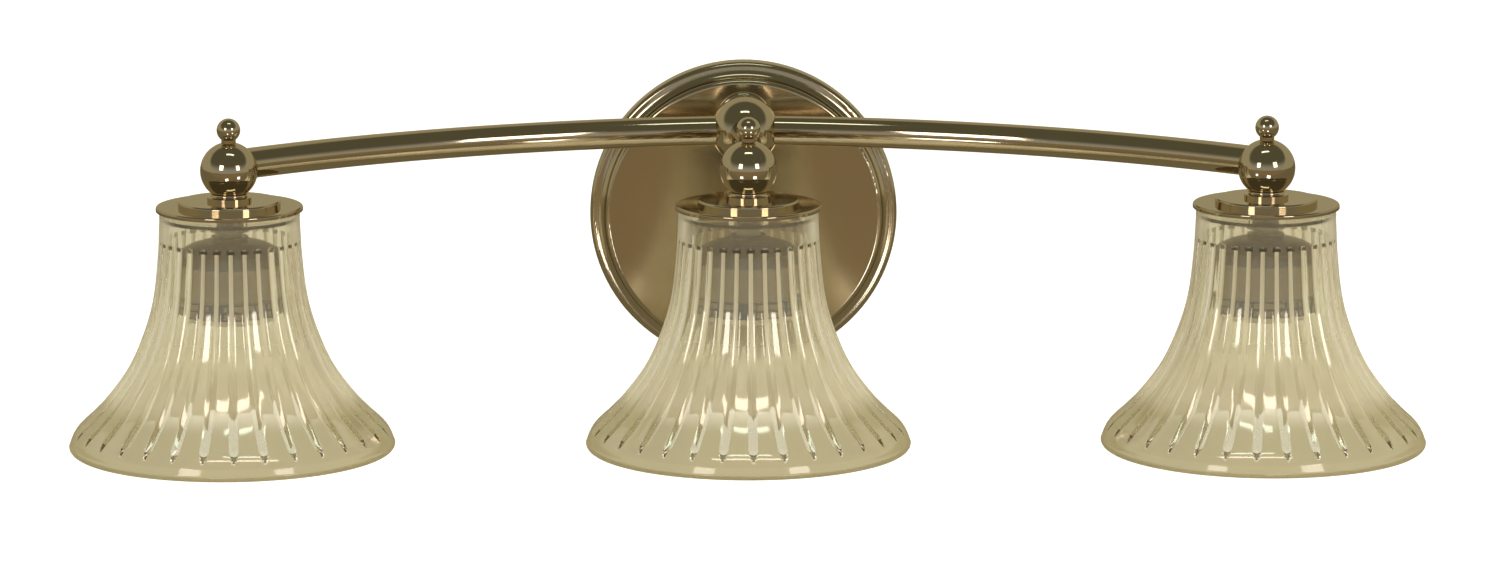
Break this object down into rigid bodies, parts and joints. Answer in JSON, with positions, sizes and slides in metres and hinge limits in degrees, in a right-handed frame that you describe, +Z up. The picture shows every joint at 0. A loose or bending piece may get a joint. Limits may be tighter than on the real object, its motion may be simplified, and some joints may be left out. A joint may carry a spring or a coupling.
{
  "type": "vanity light bar",
  "caption": "Wall vanity light with a round plate, a ball hub, swept tube arms and bell-shaped fluted glass shades hanging mouth down.",
  "frame": {"origin": "middle of the wall plate's back plane, where the wall strap lies on the wall", "axes": "+Y into the wall, +X along the bar to a viewer's right, +Z up"},
  "size_m": [0.564, 0.1946, 0.1431],
  "materials": {
    "plated_brass": "warm nickel plate, polished and lacquered",
    "zinc_steel": "zinc plated",
    "green_screw": "green dyed zinc",
    "shade_glass": "pressed, tea tinted, glossy",
    "fibre": "vulcanised fibre",
    "socket_metal": "nickel plated",
    "socket_moulding": "glazed white",
    "contact_brass": "bright",
    "lead_sleeve": "matte sleeve",
    "connector_plastic": "moulded"
  },
  "bodies": {
    "fixture": {"backplate": "plated_brass", "wall_strap": "zinc_steel", "canopy_set_screws": "zinc_steel", "ground_screw": "green_screw", "hub_post": "plated_brass", "hub_nipple": "zinc_steel", "hub_washer": "zinc_steel", "hub_nut": "zinc_steel", "hub_ball": "plated_brass", "arm_right": "plated_brass", "arm_left": "plated_brass", "arm_front": "plated_brass", "lamp_leads": "lead_sleeve", "wire_connectors": "connector_plastic", "ball_left": "plated_brass", "collar_left": "plated_brass", "nipple_left": "zinc_steel", "cap_left": "plated_brass", "gasket_left": "fibre", "shade_washer_left": "fibre", "steel_washer_left": "zinc_steel", "lock_nut_left": "zinc_steel", "socket_cap_left": "socket_metal", "socket_sleeve_left": "socket_metal", "insulator_left": "socket_moulding", "screw_shell_left": "contact_brass", "centre_contact_left": "contact_brass", "ball_centre": "plated_brass", "collar_centre": "plated_brass", "nipple_centre": "zinc_steel", "cap_centre": "plated_brass", "gasket_centre": "fibre", "shade_washer_centre": "fibre", "steel_washer_centre": "zinc_steel", "lock_nut_centre": "zinc_steel", "socket_cap_centre": "socket_metal", "socket_sleeve_centre": "socket_metal", "insulator_centre": "socket_moulding", "screw_shell_centre": "contact_brass", "centre_contact_centre": "contact_brass", "ball_right": "plated_brass", "collar_right": "plated_brass", "nipple_right": "zinc_steel", "cap_right": "plated_brass", "gasket_right": "fibre", "shade_washer_right": "fibre", "steel_washer_right": "zinc_steel", "lock_nut_right": "zinc_steel", "socket_cap_right": "socket_metal", "socket_sleeve_right": "socket_metal", "insulator_right": "socket_moulding", "screw_shell_right": "contact_brass", "centre_contact_right": "contact_brass"},
    "finial_left": {"finial_left": "plated_brass"},
    "shade_left": {"shade_left": "shade_glass"},
    "finial_centre": {"finial_centre": "plated_brass"},
    "shade_centre": {"shade_centre": "shade_glass"},
    "finial_right": {"finial_right": "plated_brass"},
    "shade_right": {"shade_right": "shade_glass"}
  },
  "joints": [
    {"name": "finial_left_turn", "type": "hinge", "parent": "fixture", "child": "finial_left", "pos_m": [-0.2144, -0.127, 0.05175], "axis": [0, 0, 1], "continuous": true},
    {"name": "shade_left_turn", "type": "hinge", "parent": "fixture", "child": "shade_left", "pos_m": [-0.2144, -0.127, 0.0241], "axis": [0, 0, 1], "continuous": true},
    {"name": "finial_centre_turn", "type": "hinge", "parent": "fixture", "child": "finial_centre", "pos_m": [0, -0.127, 0.05175], "axis": [0, 0, 1], "continuous": true},
    {"name": "shade_centre_turn", "type": "hinge", "parent": "fixture", "child": "shade_centre", "pos_m": [0, -0.127, 0.0241], "axis": [0, 0, 1], "continuous": true},
    {"name": "finial_right_turn", "type": "hinge", "parent": "fixture", "child": "finial_right", "pos_m": [0.2144, -0.127, 0.05175], "axis": [0, 0, 1], "continuous": true},
    {"name": "shade_right_turn", "type": "hinge", "parent": "fixture", "child": "shade_right", "pos_m": [0.2144, -0.127, 0.0241], "axis": [0, 0, 1], "continuous": true}
  ]
}
